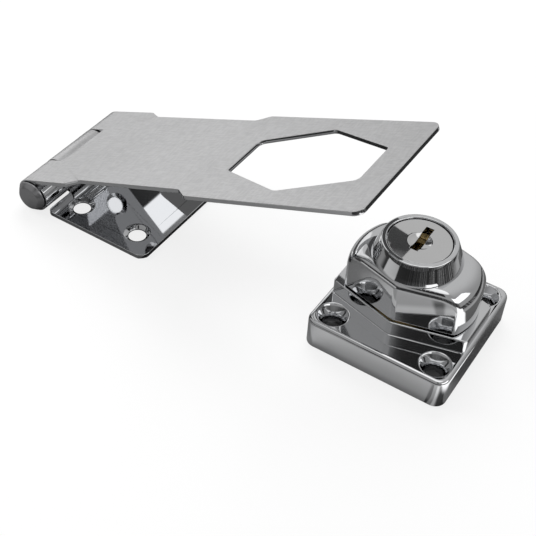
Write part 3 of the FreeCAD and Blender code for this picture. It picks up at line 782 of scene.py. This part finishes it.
@dataclass(frozen=True)
class Softener:
    """Makes a solid's dressed copy, whose sharp edges catch the light on a small rounding.

    The outer edges are all rounded; of the inner ones, only those of a foot are: level edges at
    its height and not farther along than its reach, where there is room beside them. Lengths are
    in millimetres and angles in degrees; stray is a share of the edge break, and a profile of a
    half is a round one.
    """

    edge: EdgeBreak
    foot: Pair | None = None
    foot_play: float = 0.01
    segments: int = 3
    profile: float = 0.5
    sharp: float = 33.0
    level: float = 0.3
    least_flat: float = 16.0
    stray: float = 0.45
    weld: float = 0.002
    second_weld: float = 0.001

    def dress(self, node: str, body: str, slot: str, finish: Finish) -> bpy.types.Object:
        """Replaces one solid by its softened copy.

        Args:
            node: the solid's name.
            body: the body that it moves with.
            slot: the record's material slot; not used.
            finish: its finish.

        Returns:
            The dressed piece.
        """
        mesh = self._softened(frame["nodes"][node].data, f"{node}_dressed")
        mesh.materials.append(finish.material())
        piece = bpy.data.objects.new(mesh.name, mesh)
        bpy.context.scene.collection.objects.link(piece)
        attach(piece, body)
        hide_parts(node)
        LOG.info("%s rounded by %.2f mm and dressed as %s", node, self.edge.value, finish.name)
        return piece

    def _at_foot(self, edge: bmesh.types.BMEdge) -> bool:
        """Tells whether an edge belongs to the foot.

        Args:
            edge: the edge.

        Returns:
            True if it is level at the foot's height and within its reach.
        """
        if self.foot is None:
            return False
        height, reach = self.foot
        middle = (edge.verts[0].co + edge.verts[1].co) / 2.0
        level = all(abs(end.co.z - height * MM) < self.foot_play * MM for end in edge.verts)
        return level and abs(middle.x) < reach * MM

    def _softened(self, source: bpy.types.Mesh, name: str) -> bpy.types.Mesh:
        """Copies a solid's mesh, joins its loose triangles and rounds its edges.

        Args:
            source: the solid's mesh.
            name: the copy's name.

        Returns:
            The copy. A rounding's point that strays from the solid is put back on its surface.
        """
        work = bmesh.new()
        work.from_mesh(source)
        bmesh.ops.remove_doubles(work, verts=work.verts, dist=self.weld * MM)
        sharp = [edge for edge in work.edges if len(edge.link_faces) == 2
                 and edge.calc_face_angle(0.0) > math.radians(self.sharp)]
        picked = [edge for edge in sharp if edge.is_convex or self._at_foot(edge)]
        solid = BVHTree.FromBMesh(work)
        bmesh.ops.bevel(work, geom=picked, offset=self.edge.value * MM, offset_type="OFFSET",
                        segments=self.segments, profile=self.profile, affect="EDGES",
                        clamp_overlap=False, loop_slide=True)
        for vertex in work.verts:
            spot, _, _, away = solid.find_nearest(vertex.co)
            if away > self.stray * self.edge.value * MM:
                vertex.co = spot
        bmesh.ops.triangulate(work, faces=work.faces)
        bmesh.ops.remove_doubles(work, verts=work.verts, dist=self.second_weld * MM)
        put_in_order(work)
        work.normal_update()
        normals = FlatShading(work, self.sharp, self.level, self.least_flat).normals()
        mesh = bpy.data.meshes.new(name)
        for face in work.faces:
            face.smooth = True
        work.to_mesh(mesh)
        work.free()
        mesh.normals_split_custom_set(normals)
        return mesh


SPRING_INPUTS = {"Coil Radius": "Float", "Wire Radius": "Float", "Length": "Float",
                 "Turns": "Float", "Place": "Vector", "Turn": "Vector", "Finish": "Material"}


class SpringWay(Enum):
    """Way that a spring stands: its axis's place in a vector, and its turn about x in radians."""

    UPRIGHT = (2, 0.0)
    ACROSS = (1, -math.pi / 2.0)


@dataclass(frozen=True)
class Spring:
    """One compression spring, in millimetres, that fills its solid's box from end to end."""

    node: str
    body: str
    radius: float
    wire: float
    turns: float
    way: SpringWay = SpringWay.UPRIGHT

    def inputs(self) -> dict[str, object]:
        """Works out what the winder is told.

        Returns:
            The winder's inputs by name, in metres and radians.
        """
        axis, turn = self.way.value
        low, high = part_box(self.node)
        foot = middle_of(self.node)
        foot[axis] = low[axis]
        return {
            "Coil Radius": (self.radius - self.wire) * MM, "Wire Radius": self.wire * MM,
            "Length": high[axis] - low[axis], "Turns": self.turns,
            "Place": tuple(foot), "Turn": (turn, 0.0, 0.0), "Finish": SPRING_WIRE.material(),
        }


@dataclass(frozen=True)
class SpringWinder:
    """Winds round-wire compression springs with closed ends, through one Geometry Nodes tree."""

    end_turns: float = 0.8
    steps: int = 28
    sides: int = 10

    def build_tree(self) -> bpy.types.NodeTree:
        """Makes the tree, with named inputs for the spring's sizes, place and finish.

        Returns:
            The tree.
        """
        tree = bpy.data.node_groups.new("spring_winder", "GeometryNodeTree")
        for label, kind in SPRING_INPUTS.items():
            tree.interface.new_socket(label, in_out="INPUT", socket_type=f"NodeSocket{kind}")
        tree.interface.new_socket("Geometry", in_out="OUTPUT", socket_type="NodeSocketGeometry")
        graph = Graph(tree)
        given = graph.node("NodeGroupInput").outputs
        coil, wire, length, turns, place, turn, finish = (
            Wire(graph, given[label]) for label in SPRING_INPUTS)
        line = graph.add("GeometryNodeCurveSpiral", None, {
            "Resolution": self.steps, "Rotations": turns, "Start Radius": coil,
            "End Radius": coil, "Height": 0.0})
        x, y, _ = graph.parts(graph.add("GeometryNodeInputPosition"))
        share = graph.add("GeometryNodeSplineParameter", output="Factor")
        lifted = graph.add("ShaderNodeCombineXYZ", None, {
            0: x, 1: y, 2: self._rise(share * turns, wire, length, turns)})
        wound = graph.add("GeometryNodeSetPosition", None, {"Geometry": line, "Position": lifted})
        section = graph.add("GeometryNodeCurvePrimitiveCircle", None, {
            "Resolution": self.sides, "Radius": wire})
        skin = graph.add("GeometryNodeCurveToMesh", None, {
            "Curve": wound, "Profile Curve": section, "Fill Caps": True})
        smooth = graph.add("GeometryNodeSetShadeSmooth", None, {
            "Geometry": skin, "Shade Smooth": True})
        placed = graph.add("GeometryNodeTransform", None, {
            "Geometry": smooth, "Translation": place, "Rotation": turn})
        real = graph.add("GeometryNodeRealizeInstances", None, {"Geometry": placed})
        coated = graph.add("GeometryNodeSetMaterial", None, {"Geometry": real, "Material": finish})
        graph.node("NodeGroupOutput", None, {"Geometry": coated})
        return tree

    def _rise(self, wound: Wire, wire: Wire, length: Wire, turns: Wire) -> Wire:
        """Lifts the wire: closed at both ends, open between them.

        Args:
            wound: turns wound so far.
            wire: the wire's radius.
            length: the spring's length.
            turns: all the turns.

        Returns:
            Height of the wire's middle.
        """
        closed = 2.0 * self.end_turns * wire
        first = wound.ramp(0.0, self.end_turns, False)
        last = 1.0 - (turns - wound).ramp(0.0, self.end_turns, False)
        open_share = (wound - self.end_turns) / (turns - 2.0 * self.end_turns)
        opened = open_share.ramp(0.0, 1.0, False) * (length - 2.0 * wire - 2.0 * closed)
        return wire + closed * (first + last) + opened

    def wind(self, tree: bpy.types.NodeTree, spring: Spring) -> bpy.types.Object:
        """Makes one spring of the tree and puts it in its solid's place.

        Args:
            tree: the tree from build_tree.
            spring: the spring.

        Returns:
            The spring as a plain mesh.
        """
        name = f"{spring.node}_wound"
        piece = bpy.data.objects.new(name, bpy.data.meshes.new(name))
        bpy.context.scene.collection.objects.link(piece)
        modifier = piece.modifiers.new("winder", "NODES")
        modifier.node_group = tree
        values = spring.inputs()
        for item in tree.interface.items_tree:
            if item.in_out == "INPUT":
                modifier[item.identifier] = values[item.name]
        evaluated = piece.evaluated_get(bpy.context.evaluated_depsgraph_get())
        made = bpy.data.meshes.new_from_object(evaluated)
        piece.modifiers.clear()
        piece.data = made
        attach(piece, spring.body)
        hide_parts(spring.node)
        LOG.info("%s wound with %.1f turns", spring.node, spring.turns)
        return piece


def finish_nodes(finish: Finish, *nodes: str) -> None:
    """Gives solids their finish, with their shapes as they are.

    Args:
        finish: the finish.
        nodes: the solids' names.
    """
    for node in nodes:
        mesh = frame["nodes"][node].data
        mesh.materials.clear()
        mesh.materials.append(finish.material())
        LOG.info("%s dressed as %s", node, finish.name)


# Sub-assemblies


@dataclass(frozen=True)
class HingeGroup:
    """Slotted strap, screw leaf and the pin that joins them."""

    sheared: Softener = Softener(EdgeBreak.SHEARED)
    formed: Softener = Softener(EdgeBreak.TURNED)

    def build(self) -> None:
        """Dresses the three pieces."""
        self.sheared.dress("hasp_strap", "strap", "strap_satin", SATIN)
        self.sheared.dress("fixed_leaf", "mounted_parts", "leaf_chrome", LEAF_CHROME)
        self.formed.dress("hinge_pin", "mounted_parts", "hinge_pin_steel", PIN_STEEL)


@dataclass(frozen=True)
class LockBase:
    """Square base with its platform, and the small pieces that stay in it."""

    cast: Softener = Softener(EdgeBreak.CAST, foot=(8.5, 17.2))
    detent: Spring = Spring("detent_spring", "mounted_parts", radius=1.15, wire=0.2, turns=5.5)

    def build(self, winder: SpringWinder, tree: bpy.types.NodeTree) -> None:
        """Dresses the base and its pieces, and winds the detent's spring.

        Args:
            winder: the winder.
            tree: the winder's tree.
        """
        self.cast.dress("lock_base", "mounted_parts", "base_chrome", CHROME)
        winder.wind(tree, self.detent)
        finish_nodes(HARD_STEEL, "stop_pin")
        finish_nodes(WASHER_BRASS, "glide_washer")
        finish_nodes(BALL_STEEL, "detent_ball")


@dataclass(frozen=True)
class TurningHead:
    """Turret with the plate and the two screws that hold it in the base, and the bolt inside."""

    cast: Softener = Softener(EdgeBreak.CAST)

    def build(self) -> None:
        """Dresses the head's pieces."""
        self.cast.dress("turret", "turret", "turret_chrome", CHROME)
        finish_nodes(ZINC, "retaining_plate", "plate_screws")
        finish_nodes(HARD_STEEL, "locking_bolt")


@dataclass(frozen=True)
class KeyPlug:
    """Key plug with its wafers, their springs and the clip under it, in millimetres."""

    turned: Softener = Softener(EdgeBreak.TURNED)
    wafers: int = 5
    spring_radius: float = 0.7
    spring_wire: float = 0.14
    spring_turns: float = 8.0

    def build(self, winder: SpringWinder, tree: bpy.types.NodeTree) -> None:
        """Dresses the plug and its pieces, and winds the wafers' springs.

        Args:
            winder: the winder.
            tree: the winder's tree.
        """
        self.turned.dress("lock_plug", "plug", "plug_nickel", PLUG_NICKEL)
        finish_nodes(SPRING_WIRE, "plug_clip")
        for number in range(1, self.wafers + 1):
            finish_nodes(WAFER_BRASS, f"wafer_{number}")
            winder.wind(tree, Spring(f"wafer_spring_{number}", "plug", self.spring_radius,
                                     self.spring_wire, self.spring_turns, SpringWay.ACROSS))


# Studio


@dataclass(frozen=True)
class PhotoCamera:
    """Camera at the photograph's viewing angle. Its place, lens and sensor are in millimetres."""

    place: Spot = (63.177, -178.960, 199.046)
    right: Spot = (0.84050848, 0.53998918, 0.04424011)
    down: Spot = (0.40357919, -0.56951531, -0.71608389)
    focal_length: float = 72.332
    sensor: float = 36.0
    nearest: float = 10.0
    farthest: float = 20000.0

    def build(self) -> None:
        """Makes the camera and sets it as the scene's."""
        data = bpy.data.cameras.new("photo_camera")
        data.lens = self.focal_length
        data.sensor_width = self.sensor
        data.clip_start = self.nearest * MM
        data.clip_end = self.farthest * MM
        camera = bpy.data.objects.new("photo_camera", data)
        bpy.context.scene.collection.objects.link(camera)
        right, up = Vector(self.right), -Vector(self.down)
        turn = Matrix((right, up, right.cross(up))).transposed().to_4x4()
        camera.matrix_world = Matrix.Translation(Vector(self.place) * MM) @ turn
        bpy.context.scene.camera = camera


@dataclass(frozen=True)
class SoftLamp:
    """Square soft lamp that looks at the middle of the part, in metres and watts."""

    name: str
    place: Spot
    size: float
    power: float
    aim: Spot = (-0.04, 0.0, 0.02)

    def build(self) -> None:
        """Makes the lamp."""
        data = bpy.data.lights.new(self.name, "AREA")
        data.size = self.size
        data.energy = self.power
        lamp = bpy.data.objects.new(self.name, data)
        bpy.context.scene.collection.objects.link(lamp)
        lamp.location = self.place
        lamp.rotation_mode = "QUATERNION"
        lamp.rotation_quaternion = (Vector(self.aim) - Vector(self.place)).to_track_quat("-Z", "Y")
        lamp.visible_glossy = False


@dataclass(frozen=True)
class PaperFloor:
    """Level floor just under the part: white to the eye, paper with painted light and shade to the
    metal.

    Lengths are in millimetres and bearings in degrees. A patch lies over the floor's x and y, but
    a corner ray over the bearing and the distance from the corner, the aisle over the bearing and
    x, and streak_bearings over the bearing twice.
    """

    half: float = 3000.0
    drop: float = 0.05
    paper: float = 0.8
    eye_share: float = 0.8

    # Painted glow seen by glossy rays, beside the base, behind the leaf and under its far hole
    painted_glow_strength: float = 2.1
    painted_glow_beside_base: Patch = Patch(0.65, Band(23.5, 130.0, 2.0), Band(high=5.5, soft=1.0))
    painted_glow_bearing: Band = Band(low=-41.0, soft=3.0)
    painted_glow_behind_leaf: Patch = Patch(1.0, Band(-88.5, -78.5, 0.3), Band(19.7, 33.0, 0.5))
    hole: Pair = (-95.0, 12.0)
    painted_glow_hole_share: float = 0.9
    painted_glow_hole_edge: Band = Band(high=3.1, soft=0.2)

    # Painted light of the floor for glossy rays: brighter close around the part, darker far off
    painted_light_far: float = 0.03
    painted_light_near: float = 0.3
    near: Patch = Patch(1.0, Band(high=80.0, soft=20.0), Band(low=-75.0, soft=25.0))
    # Painted light in front of the base on the right, painted shade on the left
    painted_light_front_right: Patch = Patch(0.09, Band(low=-4.0, soft=4.0), Band(high=-26.0, soft=4.0))
    painted_shade_front_left: Patch = Patch(-0.14, Band(high=-18.0, soft=4.0), Band(high=-10.0, soft=4.0))
    # Painted shadow of the base on the floor beside it
    painted_shadow_beside_base: Patch = Patch(-0.2, Band(18.5, 45.0, 2.0), Band(low=-9.0, soft=3.0))
    # Painted light in a strip in front of the base
    painted_light_front_strip: Patch = Patch(0.22, Band(low=-25.0, soft=5.0), Band(-29.0, -20.5, 1.0))
    # Painted light and shade in rays from a point by the base's near right corner
    corner: Pair = (15.0, -17.0)
    painted_rays_from_corner: tuple[Patch, ...] = (
        Patch(0.45, Band(-58.0, -40.0, 4.0), Band(high=14.5, soft=1.5)),
        Patch(-0.3, Band(-97.0, -84.0, 3.0), Band(high=14.5, soft=1.5)),
        Patch(-0.25, Band(-34.0, 4.0, 5.0), Band(high=14.5, soft=1.5)),
    )
    # Painted shadow of the strap on the floor under it; painted shade behind the hinge and the lock
    painted_shadow_under_strap: Patch = Patch(0.93, Band(-120.0, -45.0, 2.0), Band(-18.6, 19.3, 0.4))
    painted_shade_behind_hinge: Patch = Patch(0.93, Band(high=-88.7, soft=0.5), Band(low=19.25, soft=0.25))
    painted_shade_behind_lock: Patch = Patch(0.82, Band(-28.0, 22.0, 3.0), Band(32.0, 90.0, 3.0))
    # Painted light far off: a band and streaks
    aisle: Patch = Patch(0.4, Band(-140.0, -108.0, 1.5), Band(low=-400.0, soft=100.0))
    streak_bearings: Patch = Patch(0.3, Band(low=-55.0, soft=45.0), Band(high=34.0, soft=6.0))
    streaks: Grain = Grain(0.45, 3.0, cut=(0.5, 0.64))

    def build(self) -> None:
        """Makes the floor."""
        corners = [(x * self.half * MM, y * self.half * MM, 0.0)
                   for x, y in ((-1, -1), (1, -1), (1, 1), (-1, 1))]
        mesh = bpy.data.meshes.new("studio_floor")
        mesh.from_pydata(corners, [], [range(len(corners))])
        mesh.materials.append(self._material())
        floor = bpy.data.objects.new("studio_floor", mesh)
        bpy.context.scene.collection.objects.link(floor)
        floor.location.z = -self.drop * MM
        floor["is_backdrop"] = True

    def _material(self) -> bpy.types.Material:
        """Makes the paper: white to the eye, with painted light, shade and glow for glossy rays.

        Returns:
            The floor's material.
        """
        made = bpy.data.materials.new("paper_with_painted_light")
        made.use_nodes = True
        graph = Graph(made.node_tree)
        place = graph.stretch(graph.add("ShaderNodeTexCoord", output="Object"), (1.0 / MM,) * 3)
        x, y, _ = graph.parts(place)
        seen = graph.add("ShaderNodeLightPath", output="Is Camera Ray")
        mirrored = graph.add("ShaderNodeLightPath", output="Is Glossy Ray")
        # Glossy rays see the paper with painted light and shade; other rays see plain paper
        tone = graph.blend(mirrored, (self.paper,) * 3, self._painted_floor_shading(graph, x, y))
        # Glossy rays see the painted glow brighter than white
        light = graph.blend(mirrored, (1.0,) * 3, (self.painted_glow_strength,) * 3)
        glow = graph.add("ShaderNodeEmission", None, {"Color": light, "Strength": 1.0})
        factor = self.eye_share * seen + mirrored * self._painted_glow_patches(x, y)
        paper = graph.add("ShaderNodeBsdfDiffuse", None, {"Color": tone})
        share = graph.add("ShaderNodeMixShader", None, {0: factor, 1: paper, 2: glow})
        graph.node("ShaderNodeOutputMaterial", None, {"Surface": share})
        return made

    def _painted_glow_patches(self, x: Wire, y: Wire) -> Wire:
        """Lays out the painted glowing patches that the metal mirrors.

        Args:
            x: the floor's x.
            y: the floor's y.

        Returns:
            Painted glow of the floor, beside the base, behind the leaf and under its far hole.
        """
        beside = self.painted_glow_beside_base.on(x, y) * self.painted_glow_bearing.on(y.bearing_to(x))
        hole = self.painted_glow_hole_edge.on((x - self.hole[0]).reach(y - self.hole[1]))
        return beside.most(self.painted_glow_behind_leaf.on(x, y)).most(self.painted_glow_hole_share * hole)

    def _painted_floor_shading(self, graph: Graph, x: Wire, y: Wire) -> Wire:
        """Paints light and shade on the paper as the metal mirrors it.

        Args:
            graph: the material's graph.
            x: the floor's x.
            y: the floor's y.

        Returns:
            Its colour: painted light near the part, painted shadow under the strap, painted shade
                far off.
        """
        near = self.near.on(x, y)
        painted_patches = (self.painted_light_front_right, self.painted_shade_front_left, self.painted_shadow_beside_base, self.painted_light_front_strip)
        level = sum((patch.on(x, y) for patch in painted_patches), self.painted_light_near)
        aside, ahead = x - self.corner[0], y - self.corner[1]
        around, away = ahead.bearing_to(aside), aside.reach(ahead)
        level = sum((ray.on(around, away) for ray in self.painted_rays_from_corner), level).most(self.painted_light_far)
        # Painted shadows: under the strap, behind the hinge and behind the lock
        shades = (self.painted_shadow_under_strap, self.painted_shade_behind_hinge, self.painted_shade_behind_lock)
        lit = near * level * (1.0 - strongest(shades, x, y))
        bearing = y.bearing_to(x)
        streaks = self.streaks.over(graph, bearing).level
        # Far off: painted light in a band and in streaks
        far = self.aisle.on(bearing, x) + streaks * self.streak_bearings.on(bearing, bearing)
        tone = self.painted_light_far + lit + (1.0 - near) * far
        return graph.add("ShaderNodeCombineColor", None, {0: tone, 1: tone, 2: tone})


@dataclass(frozen=True)
class SoftRoom:
    """White for the eye; a room of soft panels and dark gaps for the metal.

    A patch lies over the bearing and the rise, in degrees, or over the direction's y and the rise.
    """

    fill: float = 0.5
    wall: float = 0.36
    back_light: float = 0.26
    back_way: Spot = (-0.36, 0.62, 0.70)
    back_lobe: Band = Band(low=0.625, soft=0.325)
    side_box: Patch = Patch(1.3, Band(-34.0, 33.0, 1.5), Band(18.5, 42.0, 1.0))
    low_panel: Patch = Patch(0.45, Band(133.0, 176.0, 1.5), Band(high=25.0, soft=3.0))
    left_panel: Patch = Patch(0.35, Band(148.0, 178.0, 2.0), Band(26.0, 60.0, 2.0))
    overhead: Patch = Patch(0.7, second=Band(low=69.0, soft=3.0))
    darkness: float = 0.92
    front_gap: Patch = Patch(1.0, Band(-80.3, -60.0, 0.3), Band(36.0, 64.0, 1.0))
    back_gap: Patch = Patch(0.85, Band(122.0, 142.0, 1.0), Band(37.0, 60.0, 1.0))
    low_front: Patch = Patch(1.0, Band(high=-0.2, soft=0.3), Band(high=17.0, soft=7.0))
    streak_front: Patch = Patch(0.14, Band(high=-0.25, soft=0.25), Band(high=17.0, soft=7.0))
    streaks: Grain = Grain(0.5, 3.0, cut=(0.5, 0.62))

    def build(self) -> None:
        """Makes the room as the scene's world."""
        world = bpy.data.worlds.new("studio_room")
        world.use_nodes = True
        bpy.context.scene.world = world
        graph = Graph(world.node_tree)
        seen = graph.add("ShaderNodeLightPath", output="Is Camera Ray")
        mirrored = graph.add("ShaderNodeLightPath", output="Is Glossy Ray")
        unseen = self.fill * (1.0 - mirrored.most(seen))
        strength = unseen + mirrored * self._mirrored_room(graph) + seen
        background = graph.add("ShaderNodeBackground", None, {
            "Color": (1.0, 1.0, 1.0), "Strength": strength})
        graph.node("ShaderNodeOutputWorld", None, {"Surface": background})

    def _mirrored_room(self, graph: Graph) -> Wire:
        """Lights the room as the metal mirrors it.

        Args:
            graph: the world's graph.

        Returns:
            The room's brightness in each direction.
        """
        x, y, z = graph.parts(graph.add("ShaderNodeTexCoord", output="Generated"))
        bearing, rise = y.bearing_to(x), z.arc_sine()
        facing = sum(part * way for part, way in zip((x, y, z), self.back_way))
        gaps = strongest((self.front_gap, self.back_gap), bearing, rise)
        dark = gaps.most(self.low_front.on(y, rise))
        walls = self.wall + self.back_light * self.back_lobe.on(facing)
        panels = (self.side_box, self.low_panel, self.left_panel, self.overhead)
        lit = sum(panel.on(bearing, rise) for panel in panels)
        streaks = self.streaks.over(graph, bearing).level * self.streak_front.on(y, rise)
        return walls * (1.0 - self.darkness * dark) + lit + streaks


@dataclass(frozen=True)
class Studio:
    """Pale floor, soft lamps and the bright and dark surroundings that polished metal mirrors."""

    floor: PaperFloor = PaperFloor()
    room: SoftRoom = SoftRoom()
    lamps: tuple[SoftLamp, ...] = (
        SoftLamp("back_softbox", (-0.35, 0.55, 0.75), 0.7, 9.0),
        SoftLamp("left_softbox", (-0.75, -0.15, 0.6), 0.5, 3.5),
    )

    def build(self) -> None:
        """Makes the floor, the surroundings and the lamps."""
        for part in (self.floor, self.room, *self.lamps):
            part.build()
        bpy.context.scene.view_settings.view_transform = "Standard"


def keep_sizes() -> None:
    """Works out the solid model's box and the dressed model's box; nothing is written."""
    boxes = {"cad": CAD_BOX, "visual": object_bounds()}
    plain = {name: [list(low), list(high)] for name, (low, high) in boxes.items()}


def main() -> None:
    """Builds the scene in order."""
    logging.basicConfig(level=logging.INFO)
    PhotoCamera().build()
    Studio().build()
    winder = SpringWinder()
    tree = winder.build_tree()
    HingeGroup().build()
    LockBase().build(winder, tree)
    TurningHead().build()
    KeyPlug().build(winder, tree)
    keep_sizes()


if __name__ == "__main__":
    main()
